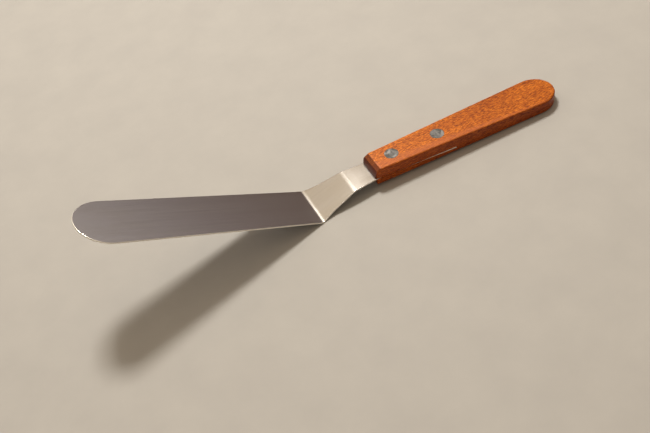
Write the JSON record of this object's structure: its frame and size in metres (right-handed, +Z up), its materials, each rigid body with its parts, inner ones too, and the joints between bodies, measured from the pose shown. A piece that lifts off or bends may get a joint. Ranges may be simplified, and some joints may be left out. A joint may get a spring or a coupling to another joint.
{
  "type": "offset spatula",
  "caption": "Offset spatula: thin flexible steel blade with a round tip, folded up at the heel into a crank and neck, riveted into a tapered wooden handle with a round butt.",
  "frame": {"origin": "on the ground at the middle of the overall length and width, tool lying at rest on the fold at the heel of the blade and on the underside of the butt", "axes": "+X along the tool from the blade tip to the butt, +Y across the blade, +Z up"},
  "size_m": [0.2746, 0.033, 0.0629],
  "materials": {
    "blade_steel": "satin, brushed lengthwise",
    "handle_wood": "oiled reddish hardwood",
    "rivet_metal": "ground flush, dull"
  },
  "bodies": {
    "root": {"blade": "blade_steel", "handle": "handle_wood", "front_rivet_male": "rivet_metal", "front_rivet_female": "rivet_metal", "rear_rivet_male": "rivet_metal", "rear_rivet_female": "rivet_metal"}
  },
  "joints": []
}
